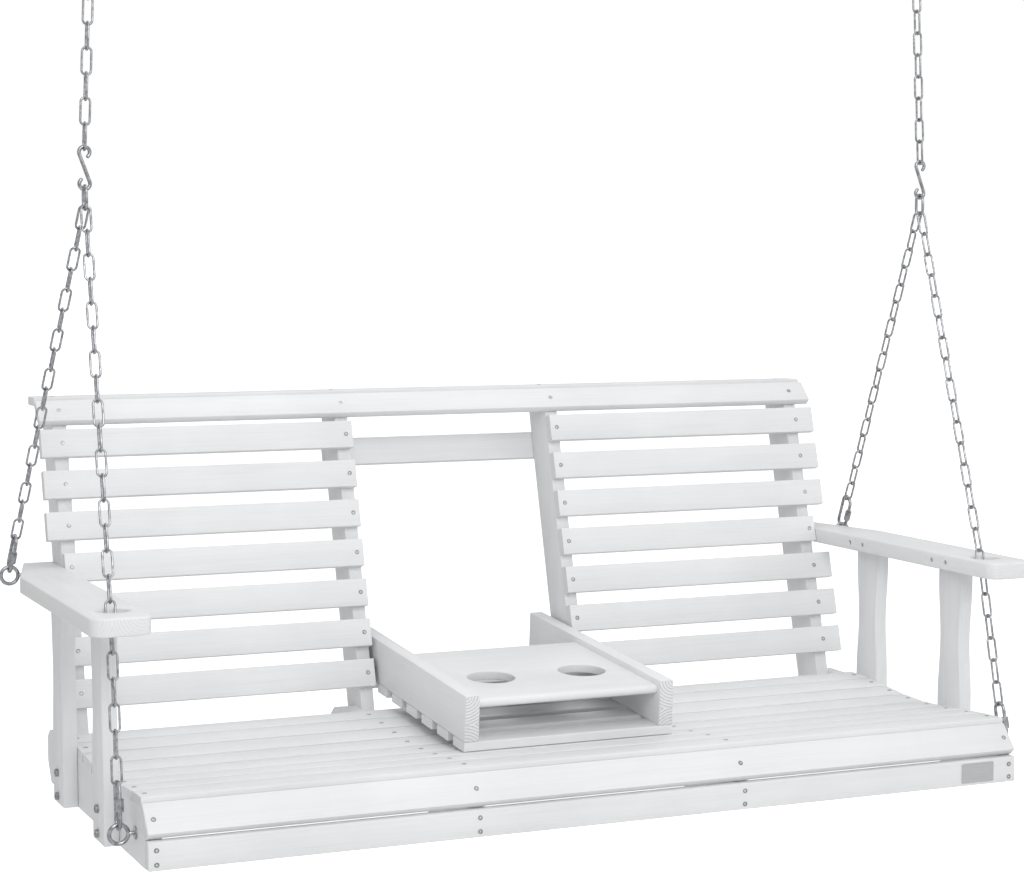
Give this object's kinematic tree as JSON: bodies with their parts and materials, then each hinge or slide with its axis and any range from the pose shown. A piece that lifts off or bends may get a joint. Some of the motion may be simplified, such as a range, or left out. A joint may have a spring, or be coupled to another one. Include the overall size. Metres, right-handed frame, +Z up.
{
  "type": "porch swing",
  "caption": "Slatted white wooden porch swing hung on chains, with a fold-down centre table that has cup holes and a storage shelf.",
  "frame": {"origin": "midway between the two ceiling hooks, on the line of their lower bows, from which the swing hangs", "axes": "+X to the right along the seat as seen from the front, +Y to the back, +Z up"},
  "size_m": [1.6766, 0.8014, 1.497],
  "materials": {
    "painted_wood": "satin white paint",
    "zinc": "bright zinc plated",
    "screw_steel": "plain bright steel",
    "plate": "satin, blank"
  },
  "bodies": {
    "ceiling_hooks": {"ceiling_hooks": "zinc"},
    "upper_chains": {"upper_chain_left": "zinc", "upper_chain_right": "zinc", "s_hooks": "zinc"},
    "bench": {"joining_links": "zinc", "chain_front_left": "zinc", "chain_front_right": "zinc", "chain_rear_left": "zinc", "chain_rear_right": "zinc", "quick_links": "zinc", "eye_bolts": "zinc", "eye_washers": "zinc", "eye_nuts": "zinc", "apron_board": "painted_wood", "front_slat": "painted_wood", "seat_slat_1": "painted_wood", "seat_slat_2": "painted_wood", "seat_slat_3": "painted_wood", "seat_slat_4": "painted_wood", "seat_slat_5": "painted_wood", "seat_slat_6": "painted_wood", "seat_slat_7": "painted_wood", "seat_slat_8": "painted_wood", "seat_support_left_outer": "painted_wood", "seat_support_left_inner": "painted_wood", "seat_support_right_inner": "painted_wood", "seat_support_right_outer": "painted_wood", "back_post_left_outer": "painted_wood", "back_post_left_inner": "painted_wood", "back_post_right_inner": "painted_wood", "back_post_right_outer": "painted_wood", "back_slats_left": "painted_wood", "back_slats_right": "painted_wood", "top_rail": "painted_wood", "rail_cap": "painted_wood", "stop_bar": "painted_wood", "pivot_bolts": "screw_steel", "pivot_spacers": "screw_steel", "pivot_nuts": "screw_steel", "arm_left": "painted_wood", "arm_right": "painted_wood", "arm_post_front_left": "painted_wood", "arm_post_rear_left": "painted_wood", "arm_post_front_right": "painted_wood", "arm_post_rear_right": "painted_wood", "arm_post_bolts": "screw_steel", "arm_post_nuts": "screw_steel", "arm_screws": "screw_steel", "post_plugs": "painted_wood", "frame_screws": "screw_steel", "blank_plate": "plate"},
    "console": {"console_side_left": "painted_wood", "console_side_right": "painted_wood", "console_slats": "painted_wood", "table_plate": "painted_wood", "console_screws": "screw_steel"},
    "sleeve_front_left": {"sleeve_front_left": "zinc"},
    "sleeve_front_right": {"sleeve_front_right": "zinc"},
    "sleeve_rear_left": {"sleeve_rear_left": "zinc"},
    "sleeve_rear_right": {"sleeve_rear_right": "zinc"}
  },
  "joints": [
    {"name": "hook_swing", "type": "hinge", "parent": "ceiling_hooks", "child": "upper_chains", "pos_m": [0, 0, 0], "axis": [1, 0, 0], "range_deg": [-20, 20]},
    {"name": "bench_swing", "type": "hinge", "parent": "upper_chains", "child": "bench", "pos_m": [0, 0, -0.4068], "axis": [1, 0, 0], "range_deg": [-12, 12]},
    {"name": "console_fold", "type": "hinge", "parent": "bench", "child": "console", "pos_m": [0, 0.29127, -1.2433], "axis": [-1, 0, 0], "range_deg": [0, 109.21]},
    {"name": "sleeve_front_left_slide", "type": "slide", "parent": "bench", "child": "sleeve_front_left", "axis": [0.0262, 0.2017, 0.9791], "range_m": [0, 0.01]},
    {"name": "sleeve_front_right_slide", "type": "slide", "parent": "bench", "child": "sleeve_front_right", "axis": [-0.0262, 0.2017, 0.9791], "range_m": [0, 0.01]},
    {"name": "sleeve_rear_left_slide", "type": "slide", "parent": "bench", "child": "sleeve_rear_left", "axis": [0.0807, -0.4953, 0.865], "range_m": [0, 0.01]},
    {"name": "sleeve_rear_right_slide", "type": "slide", "parent": "bench", "child": "sleeve_rear_right", "axis": [-0.0807, -0.4953, 0.865], "range_m": [0, 0.01]}
  ]
}
